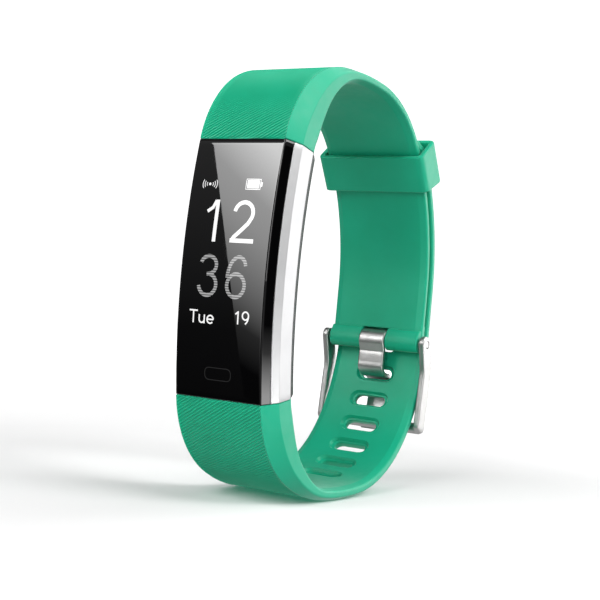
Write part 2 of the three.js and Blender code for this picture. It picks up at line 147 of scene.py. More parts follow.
class ArcPath:
    """A chain of arcs in the YZ plane. Headings turn from straight up towards +Y; side -1 runs down."""

    def __init__(self, y, z, heading, legs, side=1):
        self.side = side
        self.legs = []
        start, z, s = math.radians(heading), z * side, 0
        for radius, stop in legs:
            stop = math.radians(stop)
            centre = (y + radius * math.cos(start), z - radius * math.sin(start))
            self.legs.append((s, radius, start, centre))
            y = centre[0] - radius * math.cos(stop)
            z = centre[1] + radius * math.sin(stop)
            s += radius * (stop - start)
            start = stop
        self.length = s
        self.end = (y, z * side)
        self.end_heading = start

    def at(self, s, depth=0):
        passed = [leg for leg in self.legs if leg[0] <= s]
        begin, radius, start, centre = passed[-1] if passed else self.legs[0]
        past = max(0, s - self.length)
        heading = start + (s - past - begin) / radius
        sin, cos = math.sin(heading), math.cos(heading)
        y = centre[0] - (radius - depth) * cos + past * sin
        z = centre[1] + (radius - depth) * sin + past * cos
        return Place(y, z * self.side, (sin, cos * self.side), (cos, -sin * self.side))

    def distance_at(self, degrees):
        heading = math.radians(degrees)
        begin, radius, start, _ = [leg for leg in self.legs if leg[2] <= heading][-1]
        return begin + radius * (heading - start)


end_heading = math.degrees(math.asin(MODULE_HALF / FACE_RADIUS))
face_path = ArcPath(0, -MODULE_HALF, -end_heading, [(FACE_RADIUS, end_heading)])
top_path = ArcPath(0, MODULE_HALF, end_heading, STRAP_TOP_LEGS)
back_y = top_path.end[0] + GAP + THIN_LOW.back  # outer face of the holed strap where it runs straight up
bend = ArcPath(0, MODULE_HALF, end_heading, STRAP_LOW_LEGS)
last_radius = (back_y - bend.end[0]) / (1 + math.cos(bend.end_heading))
low_path = ArcPath(0, -MODULE_HALF, end_heading, STRAP_LOW_LEGS + [(last_radius, 180)], -1)
back_radius = STRAP_TOP_LEGS[-1][0]  # the arc that the keeper slides on
back_centre = top_path.legs[-1][3]
straight_length = top_path.end[1] - low_path.end[1]
tail_offset = back_y - top_path.end[0]
pin_y = top_path.end[0] - ROLL_RADIUS
slot_distance = low_path.length - (low_path.end[1] - (PIN_Z - PIN_TO_SLOT))
keeper_top = math.radians(KEEPER_HEADING) - KEEPER_LENGTH / 2 / back_radius
tail_radius = back_radius + tail_offset
tail_length = low_path.length + straight_length + (math.pi - keeper_top) * tail_radius + TIP_PAST_KEEPER


def tail_at(s):
    """The holed strap goes up the straight back of the loop, then lies outside the upper strap."""
    if s <= low_path.length + straight_length:
        return low_path.at(s)
    heading = math.pi - (s - low_path.length - straight_length) / tail_radius
    sin, cos = math.sin(heading), math.cos(heading)
    y = back_centre[0] - tail_radius * cos
    z = back_centre[1] + tail_radius * sin
    return Place(y, z, (-sin, -cos), (cos, -sin))


# ---- meshes ----
def build(name, points, faces):
    mesh = bpy.data.meshes.new(name)
    mesh.from_pydata([world(p) for p in points], [], faces)
    work = bmesh.new()
    work.from_mesh(mesh)
    bmesh.ops.remove_doubles(work, verts=work.verts, dist=WELD)
    bmesh.ops.dissolve_degenerate(work, edges=work.edges, dist=WELD)
    bmesh.ops.recalc_face_normals(work, faces=work.faces)
    work.to_mesh(mesh)
    work.free()
    piece = bpy.data.objects.new(name, mesh)
    bpy.context.scene.collection.objects.link(piece)
    return piece


def loft(name, rings, around=False):
    """A closed skin through rings of points; around joins the last ring back to the first."""
    size, count = len(rings[0]), len(rings)
    faces = []
    for r in range(count if around else count - 1):
        here, there = r * size, (r + 1) % count * size
        for i in range(size):
            j = (i + 1) % size
            faces.append((here + i, here + j, there + j, there + i))
    if not around:
        faces.append(tuple(range(size)))
        faces.append(tuple(range((count - 1) * size, count * size)))
    return build(name, [p for ring in rings for p in ring], faces)


def fillet(points, radii, segments=4, closed=False):
    """The points with each corner rounded off, and one outside each rounding to keep the flats flat."""
    if closed:
        chain = [points[-1], *points, points[0]]
        out = []
    else:
        chain = points
        out = [Vector(points[0])]
    for before, corner, after, radius in zip(chain, chain[1:], chain[2:], radii):
        corner = Vector(corner)
        back, ahead = Vector(before) - corner, Vector(after) - corner
        half_turn = (math.pi - back.angle(ahead)) / 2
        reach = min(radius * math.tan(half_turn), 0.46 * back.length, 0.46 * ahead.length)
        start, stop = corner + back.normalized() * reach, corner + ahead.normalized() * reach
        out.append(start + back.normalized() * min(0.25, 0.03 * back.length))
        for t in spread(0, 1, segments):
            out.append(start * (1 - t) ** 2 + corner * 2 * t * (1 - t) + stop * t * t)
        out.append(stop + ahead.normalized() * min(0.25, 0.03 * ahead.length))
    if not closed:
        out.append(Vector(points[-1]))
    return out


def inward_normals(ring):
    """Unit normals that point into a closed 2D outline."""
    area = sum(a[0] * b[1] - b[0] * a[1] for a, b in zip(ring, [*ring[1:], ring[0]]))
    turn = 1 if area > 0 else -1
    normals = []
    for i, here in enumerate(ring):
        along = Vector(ring[(i + 1) % len(ring)]) - Vector(ring[i - 1])
        along = along.normalized() if along.length > 1e-9 else Vector((1, 0))
        normals.append(Vector((-along.y, along.x)) * turn)
    return normals


def shrunk(ring, amount):
    return [Vector(p) + n * amount for p, n in zip(ring, inward_normals(ring))]


def rim(length, radius, steps=4):
    """Stations along a length with rounded ends: pairs of distance and how far the outline draws in."""
    turns = spread(0, math.pi / 2, steps)
    start = [(radius * (1 - math.cos(a)), radius * (1 - math.sin(a))) for a in turns]
    return start + [(length - d, inset) for d, inset in reversed(start)]


def slab(name, outline, from_x, to_x, radius):
    """An outline in the YZ plane, thick along X, with rounded rims."""
    rings = []
    for distance, inset in rim(to_x - from_x, radius):
        rings.append([(from_x + distance, *p) for p in shrunk(outline, inset)])
    return loft(name, rings)


def rod(name, radius, half, y, z, end_round, sides=32):
    turns = spread(0, 2 * math.pi, sides)[:-1]
    circle = [(y + radius * math.cos(a), z + radius * math.sin(a)) for a in turns]
    return slab(name, circle, -half, half, end_round)


def mirrored(half):
    """A closed ring from the half of it that runs from the front centre to the back centre."""
    return [(-x, d) for x, d in reversed(half[1:-1])] + [tuple(p) for p in half]


def combine(body, *tools, how="DIFFERENCE"):
    for tool in tools:
        boolean = body.modifiers.new("cut", "BOOLEAN")
        boolean.operation = how
        boolean.solver = "MANIFOLD"
        boolean.object = tool
        bpy.context.view_layer.objects.active = body
        bpy.ops.object.modifier_apply(modifier=boolean.name)
        bpy.data.objects.remove(tool)


def dress(piece, look, body, nodes=(), sharp=38):
    piece.data.materials.clear()
    piece.data.materials.append(look)
    piece.data.shade_smooth()
    piece.data.set_sharp_from_angle(angle=math.radians(sharp))
    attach(piece, body)
    if nodes:
        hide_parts(*nodes)


# ---- materials ----
class Look:
    """A Principled material whose colour, roughness and relief come from noise in the object's space."""

    def __init__(self, name):
        self.material = bpy.data.materials.new(name)
        self.material.use_nodes = True
        self.nodes = self.material.node_tree.nodes
        self.links = self.material.node_tree.links
        self.shader = self.nodes["Principled BSDF"]
        self.space = self.nodes.new("ShaderNodeTexCoord").outputs["Object"]

    def link(self, source, node, socket):
        self.links.new(source, node.inputs[socket])

    def noise(self, size, detail=3, stretch=(1, 1, 1)):
        """Noise with features of about this size in millimetres; stretch lengthens them along an axis."""
        mapping = self.nodes.new("ShaderNodeMapping")
        mapping.inputs["Scale"].default_value = [1 / (size * MM * s) for s in stretch]
        self.link(self.space, mapping, "Vector")
        noise = self.nodes.new("ShaderNodeTexNoise")
        noise.inputs["Scale"].default_value = 1
        noise.inputs["Detail"].default_value = detail
        self.link(mapping.outputs["Vector"], noise, "Vector")
        return noise.outputs["Fac"]

    def span(self, source, low, high, from_low=0.3, from_high=0.7):
        node = self.nodes.new("ShaderNodeMapRange")
        node.inputs["From Min"].default_value = from_low
        node.inputs["From Max"].default_value = from_high
        node.inputs["To Min"].default_value = low
        node.inputs["To Max"].default_value = high
        self.link(source, node, "Value")
        return node.outputs["Result"]

    def colours(self, factor, first, second):
        mix = self.nodes.new("ShaderNodeMix")
        mix.data_type = "RGBA"
        mix.inputs["A"].default_value = (*first, 1)
        mix.inputs["B"].default_value = (*second, 1)
        self.link(factor, mix, "Factor")
        return mix.outputs["Result"]

    def bump(self, height, distance, strength=0.5, below=None):
        node = self.nodes.new("ShaderNodeBump")
        node.inputs["Strength"].default_value = strength
        node.inputs["Distance"].default_value = distance * MM
        self.link(height, node, "Height")
        if below is not None:
            self.link(below, node, "Normal")
        return node.outputs["Normal"]

    def set(self, **sockets):
        for name, value in sockets.items():
            self.shader.inputs[name.replace("_", " ")].default_value = value


def surface(name, first, second, rough, metallic=0, patch=6, grain=0.15, relief=0.01, stretch=(1, 1, 1)):
    """A plain stuff: patches between two colours, uneven roughness and a fine grain."""
    look = Look(name)
    look.link(look.colours(look.span(look.noise(patch), 0, 1), first, second), look.shader, "Base Color")
    look.link(look.span(look.noise(grain * 5, stretch=stretch), *rough), look.shader, "Roughness")
    look.link(look.bump(look.noise(grain, stretch=stretch), relief), look.shader, "Normal")
    look.set(Metallic=metallic)
    return look.material


def silicone_look():
    """Satin moulded silicone: a fine skin, faint cloudiness and a soft pale bloom at grazing angles."""
    look = Look("silicone")
    cloud = look.span(look.noise(9, detail=4), 0, 1)
    green = look.colours(cloud, (0.003, 0.385, 0.215), (0.006, 0.425, 0.245))
    look.link(green, look.shader, "Base Color")
    look.link(look.span(look.noise(1.6), 0.40, 0.52), look.shader, "Roughness")
    fine = look.bump(look.noise(0.09, detail=2), 0.012, 0.35)
    look.link(look.bump(look.noise(0.7), 0.012, 0.3, below=fine), look.shader, "Normal")
    look.set(Sheen_Weight=0.42, Sheen_Roughness=0.32, Sheen_Tint=(0.85, 1.0, 0.95, 1))
    look.set(Specular_IOR_Level=0.3)
    return look.material


def glass_look(name="lens", glow=0, stripes=False):
    """Black glass with a faint film of wear. Lit display marks share it, with light of their own."""
    look = Look(name)
    film = look.colours(look.noise(12), (0.0015, 0.0015, 0.0018), (0.0025, 0.0025, 0.0028))
    look.link(film, look.shader, "Base Color")
    look.link(look.span(look.noise(4, detail=5), 0.0, 0.02), look.shader, "Roughness")
    look.link(look.bump(look.noise(14, detail=0), 0.0006, 0.2), look.shader, "Normal")
    look.set(IOR=1.5)
    if glow:
        look.set(Emission_Color=(1, 1, 1, 1), Emission_Strength=glow)
    if stripes:
        look.link(display_rows(look, glow), look.shader, "Emission Strength")
    return look.material


def display_rows(look, strength):
    """The dim digits are drawn in lit lines across, with darker ones between."""
    split = look.nodes.new("ShaderNodeSeparateXYZ")
    look.link(look.space, split, "Vector")
    rows = look.nodes.new("ShaderNodeMath")
    rows.operation = "PINGPONG"
    look.link(split.outputs["Z"], rows, 0)
    rows.inputs[1].default_value = ROW_PITCH / 2 * MM
    return look.span(rows.outputs["Value"], 0.22 * strength, strength, 0.05 * MM, 0.11 * MM)


def steel_look():
    """Brushed steel: fine lines along the strip, and smudges."""
    look = Look("steel")
    lines = look.noise(0.05, detail=2, stretch=(1, 6, 14))
    smudge = look.span(look.noise(3, detail=4), 0, 1)
    look.link(look.colours(smudge, (0.40, 0.397, 0.392), (0.48, 0.476, 0.47)), look.shader, "Base Color")
    look.link(look.span(lines, 0.30, 0.46), look.shader, "Roughness")
    look.link(look.bump(lines, 0.006, 0.35), look.shader, "Normal")
    look.set(Metallic=1)
    return look.material


def trim_look():
    """Satin silver plating on moulded plastic."""
    look = Look("trim")
    haze = look.span(look.noise(7, detail=4), 0, 1)
    look.link(look.colours(haze, (0.50, 0.50, 0.505), (0.56, 0.56, 0.565)), look.shader, "Base Color")
    look.link(look.span(look.noise(0.4), 0.30, 0.40), look.shader, "Roughness")
    look.link(look.bump(look.noise(0.06), 0.004, 0.3), look.shader, "Normal")
    look.set(Metallic=0.3)
    return look.material


def board_look():
    """Green solder mask over copper tracks."""
    look = Look("board")
    tracks = look.nodes.new("ShaderNodeTexBrick")
    mapping = look.nodes.new("ShaderNodeMapping")
    mapping.inputs["Rotation"].default_value = (math.pi / 2, 0, 0)
    mapping.inputs["Scale"].default_value = (1 / MM,) * 3
    look.link(look.space, mapping, "Vector")
    look.link(mapping.outputs["Vector"], tracks, "Vector")
    tracks.inputs["Color1"].default_value = (0.010, 0.10, 0.045, 1)
    tracks.inputs["Color2"].default_value = (0.012, 0.12, 0.055, 1)
    tracks.inputs["Mortar"].default_value = (0.03, 0.22, 0.10, 1)
    tracks.inputs["Scale"].default_value = 0.8
    tracks.inputs["Mortar Size"].default_value = 0.03
    look.link(tracks.outputs["Color"], look.shader, "Base Color")
    look.link(look.span(look.noise(1), 0.35, 0.5), look.shader, "Roughness")
    look.link(look.bump(tracks.outputs["Fac"], 0.03), look.shader, "Normal")
    return look.material


silicone = silicone_look()
glass = glass_look()
steel = steel_look()
trim = trim_look()
case_plastic = surface(
    "case_plastic", (0.010, 0.010, 0.011), (0.016, 0.016, 0.017), (0.42, 0.55), relief=0.02
)
LOOKS = {
    "silicone": silicone,
    "lens": glass,
    "oled": surface("oled", (0.004, 0.004, 0.005), (0.008, 0.008, 0.010), (0.10, 0.2)),
    "case_plastic": case_plastic,
    "trim": trim,
    "seal_rubber": surface("seal_rubber", (0.010,) * 3, (0.02,) * 3, (0.7, 0.85), relief=0.03),
    "wire": surface("wire", (0.36, 0.012, 0.01), (0.45, 0.02, 0.015), (0.35, 0.5)),
    "flex": surface("flex", (0.40, 0.17, 0.04), (0.50, 0.24, 0.07), (0.3, 0.42), stretch=(8, 1, 1)),
    "battery_foil": surface(
        "battery_foil", (0.62, 0.63, 0.65), (0.74, 0.75, 0.77), (0.25, 0.45), metallic=0.9, relief=0.05
    ),
    "board": board_look(),
    "chip": surface("chip", (0.014, 0.014, 0.015), (0.024, 0.024, 0.026), (0.5, 0.65), grain=0.08),
    "steel": steel,
    "led": surface("led", (0.12, 0.80, 0.25), (0.2, 0.9, 0.33), (0.12, 0.25), patch=0.8),
    "gold": surface(
        "gold", (0.78, 0.52, 0.16), (0.88, 0.62, 0.24), (0.2, 0.35), metallic=1, stretch=(1, 1, 8)
    ),
}
for subpart in frame["record"]["subparts"]:
    node = frame["nodes"][subpart["node"]]
    node.data.materials.clear()
    node.data.materials.append(LOOKS[subpart["material_slot"]])


# ---- straps ----
def strap_ring(depths):
    half = fillet(
        [(0, 0), (FACE_HALF, 0), (SIDE_HALF, depths.chamfer), (SIDE_HALF, depths.side),
         (STRAP_BACK_HALF, depths.back), (0, depths.back)],
        (0.12, 0.5, 0.5, 0.9),
    )
    front = [half[1] * t for t in spread(0, 1, FACE_COLUMNS)]
    back = [half[-2].lerp(half[-1], t) for t in spread(0, 1, BACK_COLUMNS)]
    return mirrored(front + half[2:-2] + back)


def strap_levels(thin):
    """The strap's section from thin to thick, with the inward normals that round its ends."""
    levels = []
    for t in spread(0, 1, TAPER_LEVELS):
        ring = [Vector(p) for p in strap_ring(Depths(*(a + (b - a) * t for a, b in zip(thin, THICK))))]
        levels.append((ring, inward_normals(ring)))
    return levels


def rib_depth(row):
    """Four rows to a rib: a narrow crest, then the foot, middle and foot of the groove."""
    return RIB_DEPTH * (0, 0.9, 1, 0.9)[row % 4]


def strap_rows(first, last, tip):
    """Rows across the strap as (distance at the middle, slope, groove depth)."""
    reach = FACE_HALF * RIB_SLOPE
    rows = []
    step = RIB_PITCH / 4
    count = int((RIB_END + reach - first + reach) / step)
    for i in range(count):
        u = first - reach + i * step
        fade = 1 - smooth(RIB_END - RIB_FADE, RIB_END, u)
        rows.append((u, 1, rib_depth(i) * fade))
    u = rows[-1][0]
    while u < last - tip - 1.5:
        u += PLAIN_STEP
        rows.append((u, 1 - smooth(RIB_END + reach, RIB_END + STRAIGHTEN_RUN, u), 0))
    for t in spread(0, math.pi / 2, 14)[1:]:
        rows.append((u + (last - u) * math.sin(t), 0, 0))
    return rows


def end_inset(distance, radius=0.15):
    """How far the section draws in near an end that is rounded off."""
    if distance >= radius:
        return 0
    return radius - math.sqrt(radius**2 - (radius - distance) ** 2)


def strap(name, place_at, thin, first, last, slope, tip=0.0):
    """A ribbed strap along a path; tip is the length of its rounded far end."""
    levels = strap_levels(thin)
    size = len(levels[0][0])
    face_edge = FACE_HALF - 0.1
    rings = []
    for u, slant, groove in strap_rows(first, last, tip):
        ring = []
        for i in range(size):
            across = max(-FACE_HALF, min(FACE_HALF, levels[0][0][i].x))
            s = max(first, min(last, u + slope * slant * across))
            level = (1 - smooth(*THICK_RUN, s)) * TAPER_LEVELS
            low = min(int(level), TAPER_LEVELS - 1)
            point = levels[low][0][i].lerp(levels[low + 1][0][i], level - low)
            normal = levels[low][1][i]
            point = point + normal * end_inset(s - first)
            if abs(point.x) < face_edge and point.y < 0.5 and s > first:
                point.y += groove
            width = 1.0
            if tip:
                width = math.sqrt(max(0.01, 1 - (max(0, tip - (last - s)) / tip) ** 2))
                point = point + normal * end_inset(last - s, 0.7)
            place = place_at(s)
            y = place.y + point.y * place.inward[0]
            z = place.z + point.y * place.inward[1]
            ring.append((point.x * width, y, z))
        rings.append(ring)
    return loft(name, rings)


def stadium(length, height, steps=8):
    half, radius = (length - height) / 2, height / 2
    turns = spread(-math.pi / 2, math.pi / 2, steps)
    right = [(half + radius * math.cos(a), radius * math.sin(a)) for a in turns]
    return right + [(-x, -y) for x, y in right]


def slot_cutter(number, thin):
    """One slot: it opens towards both faces, and the lower ones have a sunk oval on the wrist side."""
    place = tail_at(slot_distance + (SLOTS_ABOVE - number) * SLOT_PITCH)
    (long, high), (wide, tall), back = SLOT_THROUGH, SLOT_RECESS, thin.back
    stations = [
        (-1.0, long + 1.5, high + 1.5), (0, long + 0.7, high + 0.7), (0.15, long + 0.5, high + 0.5),
        (back - 1.1, long, high), (back - 0.75, long, high), (back - 0.68, long + 0.1, high + 0.06),
    ]
    if number >= SLOTS_ABOVE:
        stations += [(back - 0.6, wide - 0.8, tall - 0.55), (back - 0.1, wide - 0.2, tall - 0.15)]
        stations += [(back, wide, tall), (back + 1.0, wide + 0.9, tall + 0.9)]
    else:
        stations += [(back, long + 0.3, high + 0.2), (back + 1.0, long + 0.6, high + 0.5)]
    rings = []
    for depth, length, height in stations:
        rings.append([(
            x,
            place.y + depth * place.inward[0] + t * place.along[0],
            place.z + depth * place.inward[1] + t * place.along[1],
        ) for x, t in stadium(length, height)])
    return loft(f"slot_{number}", rings)


def box_cutter(low, high):
    (x0, y0, z0), (x1, y1, z1) = low, high
    ring = [(y0, z0), (y1, z0), (y1, z1), (y0, z1)]
    return loft("box_cutter", [[(x, *p) for p in ring] for x in (x0, x1)])


def lower_strap():
    piece = strap("holed_strap", tail_at, THIN_LOW, SEAM, tail_length, -RIB_SLOPE, TIP_LENGTH)
    combine(piece, *[slot_cutter(i, THIN_LOW) for i in range(SLOT_COUNT)])
    dress(piece, silicone, "tracker", ["lower_strap"])


def roll_outline():
    """Side view of the strap's end, turned back round the pin, with its lip on the wrist side."""
    lip = ROLL_RADIUS + 0.75
    outer = top_path.end[0] - 0.02
    inner = top_path.end[0] - THIN_TOP.back
    around = [
        (pin_y + ROLL_RADIUS * math.cos(a), PIN_Z + ROLL_RADIUS * math.sin(a))
        for a in spread(0, -math.pi, 20)
    ]
    top = PIN_Z + lip
    lip_turn = [
        (pin_y - ROLL_RADIUS + 0.03, PIN_Z + 0.6), (pin_y - ROLL_RADIUS + 0.28, PIN_Z + 1.25),
        (inner - 0.62, top - 0.5), (inner - 0.42, top - 0.15), (inner - 0.2, top),
    ]
    return [(outer, top + 1), *around, *lip_turn, (inner + 0.4, top), (inner + 0.4, top + 1)]


def upper_strap():
    last = top_path.length + top_path.end[1] - PIN_Z
    piece = strap("buckle_strap", top_path.at, THIN_TOP, SEAM, last, RIB_SLOPE)
    roll = slab("roll", roll_outline(), -SIDE_HALF + 0.12, SIDE_HALF - 0.12, 0.25)
    combine(piece, roll, how="UNION")
    notch_half = TONGUE_WIDTH / 2 + 0.1
    notch = box_cutter(
        (-notch_half, pin_y - 5, PIN_Z - ROLL_RADIUS - 2),
        (notch_half, pin_y + 5, PIN_Z + ROLL_RADIUS + 0.85),
    )
    bore = rod("bore", PIN_RADIUS + 0.06, SIDE_HALF + 2, pin_y, PIN_Z, 0.05)
    combine(piece, notch, bore)
    dress(piece, silicone, "tracker", ["upper_strap"])


# ---- keeper ----
def keeper():
    """A band of even wall, bent to the back curve, with full round corners."""
    inner, outer = THIN_TOP.back + GAP, tail_offset + GAP
    wall = KEEPER_WALL
    corner = [(KEEPER_HALF, -outer - wall), (KEEPER_HALF, inner + wall),
              (-KEEPER_HALF, inner + wall), (-KEEPER_HALF, -outer - wall)]
    outside = fillet(corner, (1.5,) * 4, 8, closed=True)
    round_outline = []
    for p, q in zip(outside, [*outside[1:], outside[0]]):
        pieces = max(1, int((q - p).length / 1.5))
        round_outline += [p.lerp(q, t / pieces) for t in range(pieces)]
    inward = inward_normals(round_outline)
    begin = top_path.distance_at(KEEPER_HEADING) - KEEPER_LENGTH / 2
    section = [(0, 0), (KEEPER_LENGTH, 0), (KEEPER_LENGTH, wall), (0, wall)]
    section = fillet(section, (0.32,) * 4, closed=True)
    rings = []
    for point, normal in zip(round_outline, inward):
        ring = []
        for s, t in section:
            x, depth = point + normal * t
            place = top_path.at(begin + s, depth)
            ring.append((x, place.y, place.z))
        rings.append(ring)
    piece = loft("keeper_loop", rings, around=True)
    dress(piece, silicone, "keeper", ["keeper"])


# ---- buckle ----
bar_place = tail_at(slot_distance - BAR_BELOW_SLOT)
bar_y = bar_place.y - BAR_LIFT * bar_place.inward[0]
bar_z = bar_place.z - BAR_LIFT * bar_place.inward[1]


def arm_outline():
    corners = [
        (pin_y - 1.9, PIN_Z + 0.4), (pin_y - 1.2, PIN_Z + 1.6), (pin_y + 0.5, PIN_Z + 1.6),
        (pin_y + 1.4, PIN_Z + 0.6), (pin_y + 3.0, PIN_Z - 5.0), (bar_y + 1.0, bar_z + 0.9),
        (bar_y + 0.9, bar_z - 0.7), (bar_y - 0.7, bar_z - 0.95), (bar_y - 2.0, bar_z + 0.3),
        (pin_y - 0.2, PIN_Z - 5.2),
    ]
    return fillet(corners, (1.3, 1.3, 1.3, 1.5, 4, 1.2, 0.9, 1.1, 1.2, 6), 6, closed=True)


def buckle_frame():
    sides = (-FRAME_HALF, FRAME_HALF - FRAME_SIDE)
    arms = [slab("arm", arm_outline(), x, x + FRAME_SIDE, 0.3) for x in sides]
    bar = rod("frame_of_buckle", BAR_RADIUS, FRAME_HALF - FRAME_SIDE / 2, bar_y, bar_z, 0.1)
    combine(bar, *arms, how="UNION")
    combine(bar, rod("pin_hole", PIN_RADIUS + 0.04, FRAME_HALF + 2, pin_y, PIN_Z, 0.05))
    dress(bar, steel, "buckle", ["buckle_frame"])


def buckle_pin():
    piece = rod("hinge_pin", PIN_RADIUS, FRAME_HALF - 0.06, pin_y, PIN_Z, 0.18)
    dress(piece, steel, "tracker", ["buckle_pin"])


def smoothed(points, per_span=8):
    """A Catmull-Rom curve through points."""
    chain = [Vector(p) for p in points]
    chain = [chain[0] * 2 - chain[1], *chain, chain[-1] * 2 - chain[-2]]
    out = []
    for a, b, c, d in zip(chain, chain[1:], chain[2:], chain[3:]):
        for i in range(per_span):
            t = i / per_span
            bow = (2 * a - 5 * b + 4 * c - d) * t**2
            twist = (3 * b - a - 3 * c + d) * t**3
            out.append(0.5 * (2 * b + (c - a) * t + bow + twist))
    out.append(chain[-2])
    return out


def outside_strap(below_slot, lift):
    """A point this far down the strap from the tongue's slot, lifted off the strap's outer face."""
    place = tail_at(slot_distance - below_slot)
    return (place.y - lift * place.inward[0], place.z - lift * place.inward[1])


def buckle_tongue():
    """A strip curled round the pin, bowed towards the wrist, out through its slot and over the bar."""
    slot = tail_at(slot_distance)
    turns = [math.radians(degrees) for degrees in range(-60, 121, 15)]
    curl = [(pin_y - ROLL_RADIUS * math.sin(a), PIN_Z + ROLL_RADIUS * math.cos(a)) for a in turns]
    bow = [
        (pin_y - 1.12, PIN_Z - 1.75), (pin_y - 1.02, PIN_Z - 2.2), (pin_y - 1.12, PIN_Z - 2.9),
        (pin_y - 1.15, PIN_Z - 4.2), (slot.y - 4.3, slot.z + 1.6), (slot.y - 3.1, slot.z + 0.45),
    ]
    outside = [outside_strap(*step) for step in ((0.2, -0.9), (0.75, 0.6), (2.4, 1.9), (6.0, 3.0))]
    end = [(bar_y + 1.75, bar_z + 0.9), (bar_y + 1.35, bar_z - 1.4)]
    line = smoothed(curl + bow + outside + end)
    half = [(0, -TONGUE_THICK / 2), (TONGUE_WIDTH / 2, -TONGUE_THICK / 2),
            (TONGUE_WIDTH / 2, TONGUE_THICK / 2), (0, TONGUE_THICK / 2)]
    section = mirrored(fillet(half, (0.25, 0.25)))
    rings = []
    for i, point in enumerate(line):
        along = (line[min(i + 1, len(line) - 1)] - line[max(i - 1, 0)]).normalized()
        lift = Vector((-along.y, along.x))
        rings.append([(x, *(point + lift * t)) for x, t in section])
    piece = loft("tongue_strip", rings)
    dress(piece, steel, "tongue", ["buckle_tongue"], sharp=50)


# ---- module ----
def face_at(along, depth=0):
    """A place on the display face, by its distance up from the middle of the module."""
    return face_path.at(along + face_path.length / 2, depth)


def along_module(name, section, end_gap=SEAM, end_round=0.12, count=44):
    length = face_path.length - 2 * end_gap
    stations = rim(length, end_round)
    middle = len(stations) // 2
    inner = [(s, 0) for s in spread(end_round, length - end_round, count)[1:-1]]
    rings = []
    for s, inset in stations[:middle] + inner + stations[middle:]:
        ring = []
        for x, depth in shrunk(section, inset):
            place = face_path.at(s + end_gap, depth)
            ring.append((x, place.y, place.z))
        rings.append(ring)
    return loft(name, rings)


def display_lens():
    half = fillet([(0, 0), (FACE_HALF, 0), (EDGE_HALF, EDGE_DEPTH), (0, EDGE_DEPTH)], (0.3, 0.1), 5)
    dress(along_module("lens_glass", mirrored(half)), glass, "tracker", ["display_lens"])


def side_trim(side, name, node):
    inner = SIDE_HALF - 1.0
    corners = [
        (inner, EDGE_DEPTH + 0.06), (EDGE_HALF + 0.03, EDGE_DEPTH + 0.06), (SIDE_HALF, CREASE_DEPTH),
        (SIDE_HALF, TRIM_DEPTH), (inner, TRIM_DEPTH),
    ]
    outline = fillet([(side * x, d) for x, d in corners], (0.05, 0.1, 0.35, 0.25, 0.1), 4, closed=True)
    dress(along_module(name, outline), trim, "tracker", [node])


def rounded_box(half_x, half_z, corner, steps=8):
    corners = [(half_x, -half_z), (half_x, half_z), (-half_x, half_z), (-half_x, -half_z)]
    return fillet(corners, (corner,) * 4, steps, closed=True)


def rear_cover():
    half, front = SIDE_HALF - 0.25, TRIM_DEPTH + SEAM
    outer = [
        (0, front), (half, front), (half, 7.2), (half - 1.3, REAR_DEPTH - 0.5),
        (half - 2.4, REAR_DEPTH), (0, REAR_DEPTH),
    ]
    outer = fillet(outer, (0.25, 2.0, 1.6, 1.6), 6)
    shell = along_module("back_shell", mirrored(outer), end_gap=0.12, end_round=0.3)
    wall, bottom = 1.2, REAR_DEPTH - 1.0
    inner = [(0, 5), (half - wall, 5), (half - wall, 7.5), (half - wall - 2, bottom), (0, bottom)]
    inner = fillet(inner, (0.1, 1, 1))
    opening = rounded_box(WINDOW_HALF_X + 0.1, WINDOW_HALF_Z + 0.1, 1.7)
    window = loft("opening", [[(x, y, z) for x, z in opening] for y in (4, 14)])
    combine(shell, along_module("hollow", mirrored(inner), end_gap=1.4), window)
    dress(shell, case_plastic, "tracker", ["rear_cover"])


def sensor_window():
    """A dark pane with a softly domed edge, and the covers of its two lamps and its light sensor."""
    outline = rounded_box(WINDOW_HALF_X, WINDOW_HALF_Z, 1.6)
    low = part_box("sensor_window")[0].y / MM - home.y
    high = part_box("sensor_window")[1].y / MM - home.y
    edge = 0.55
    rings = [[(x, low, z) for x, z in outline]]
    for a in spread(0, math.pi / 2, 8):
        ring = shrunk(outline, edge * (1 - math.cos(a)))
        rings.append([(x, high - edge * (1 - math.sin(a)), z) for x, z in ring])
    dress(loft("sensor_pane", rings), glass, "tracker", ["sensor_window"])
    for name, z in (("upper_lamp_cover", 3.6), ("lower_lamp_cover", -3.6)):
        disc = rod(name, 0.9, 0.5, 0, 0, 0.2)
        to_origin = Matrix.Translation(-world((0, 0, 0)))
        turn = Matrix.Rotation(math.pi / 2, 4, "Z")
        to_pane = Matrix.Translation(world((0, high - 0.47, z)))
        disc.data.transform(to_pane @ turn @ to_origin)
        dress(disc, LOOKS["led"], "tracker")
    square = rounded_box(1.4, 1.4, 0.3)
    rings = []
    for depth, inset in ((0, 0), (0.5, 0), (0.53, 0.05)):
        rings.append([(x, high - 0.5 + depth, z) for x, z in shrunk(square, inset)])
    dress(loft("light_sensor_cover", rings), LOOKS["oled"], "tracker")


# ---- display marks ----
LIT = glass_look("lit_mark", glow=1.0)
DIM = glass_look("dim_mark", glow=0.42, stripes=True)
FAINT = glass_look("faint_mark", glow=0.02)


def arc(cx, cz, rx, rz, from_degrees, to_degrees, steps=20):
    return [(cx + rx * math.cos(math.radians(a)), cz + rz * math.sin(math.radians(a)))
            for a in spread(from_degrees, to_degrees, steps)]


